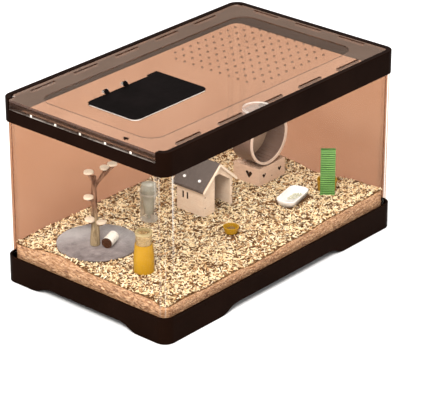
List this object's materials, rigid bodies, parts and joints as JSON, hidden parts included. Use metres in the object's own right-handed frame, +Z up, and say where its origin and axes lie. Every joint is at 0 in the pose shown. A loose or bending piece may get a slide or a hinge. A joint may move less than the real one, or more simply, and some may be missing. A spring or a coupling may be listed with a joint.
{
  "type": "hamster cage",
  "caption": "Long clear walled hamster cage on a black plinth tray, with a black top frame, a vented hinged lid with a feeding hatch, bedding, a house, a running wheel and dishes.",
  "frame": {"origin": "on the ground under the middle of the tray", "axes": "+X along the long side, +Y from the front long side to the back, +Z up"},
  "size_m": [0.604, 0.37, 0.3438],
  "materials": {
    "black_plastic": "moulded, satin gloss",
    "hatch_black": "gloss",
    "rubber": "matt",
    "bedding": "loose shavings",
    "felt": "pressed felt",
    "tree_wood": "bare branch wood",
    "log_wood": "bark and end grain",
    "bottle_plastic": "translucent, gloss",
    "plywood": "bare sanded plywood",
    "roof_board": "grey stained board",
    "white_plastic": "gloss",
    "steel": "plated",
    "wheel_plastic": "satin",
    "yellow_plastic": "gloss",
    "clear_sleeve": "clear",
    "ring_plastic": "satin",
    "green_plastic": "satin",
    "clear_post": "clear, gloss",
    "clear_panel": "clear, gloss",
    "clear_lid": "clear, gloss"
  },
  "bodies": {
    "base": {"base_tray": "black_plastic", "foot_pads": "rubber", "bedding": "bedding", "felt_mat": "felt", "climbing_tree": "tree_wood", "tree_steps": "tree_wood", "house_front": "plywood", "house_back": "plywood", "house_side_left": "plywood", "house_side_right": "plywood", "roof_left": "roof_board", "roof_right": "roof_board", "roof_pins": "white_plastic", "wheel_stand": "plywood", "wheel_upright": "plywood", "wheel_axle": "steel", "wheel_end_cap": "wheel_plastic", "wheel_spacer": "white_plastic", "axle_nut": "steel", "food_dish": "white_plastic", "treat_pot": "yellow_plastic", "pot_sleeve": "clear_sleeve", "pot_ring": "ring_plastic", "small_tub": "yellow_plastic", "large_tub": "yellow_plastic", "water_bottle": "bottle_plastic", "bottle_stand": "white_plastic", "gnaw_log": "log_wood", "chew_ladder": "green_plastic"},
    "tank": {"corner_post_front_left": "clear_post", "corner_post_back_left": "clear_post", "corner_post_front_right": "clear_post", "corner_post_back_right": "clear_post", "panel_front": "clear_panel", "panel_back": "clear_panel", "panel_left": "clear_panel", "panel_right": "clear_panel", "top_frame": "black_plastic"},
    "lid": {"lid_panel": "clear_lid", "lid_end_rail": "clear_lid", "lid_pivot_pins": "steel", "finger_grip": "clear_lid", "lid_catch": "black_plastic", "hatch_hinge_ears": "clear_lid"},
    "hatch": {"hatch_door": "hatch_black", "hatch_hinge_pins": "steel"},
    "wheel": {"wheel_drum": "wheel_plastic"}
  },
  "joints": [
    {"name": "tank_lift", "type": "slide", "parent": "base", "child": "tank", "axis": [0, 0, 1], "range_m": [0, 0.26]},
    {"name": "lid_hinge", "type": "hinge", "parent": "tank", "child": "lid", "pos_m": [0, 0.168, 0.3368], "axis": [-1, 0, 0], "range_deg": [0, 105]},
    {"name": "hatch_hinge", "type": "hinge", "parent": "lid", "child": "hatch", "pos_m": [-0.149, 0.0652, 0.3414], "axis": [-1, 0, 0], "range_deg": [0, 105]},
    {"name": "wheel_spin", "type": "hinge", "parent": "base", "child": "wheel", "pos_m": [0.179, 0.023, 0.158], "axis": [0, 1, 0], "continuous": true}
  ]
}
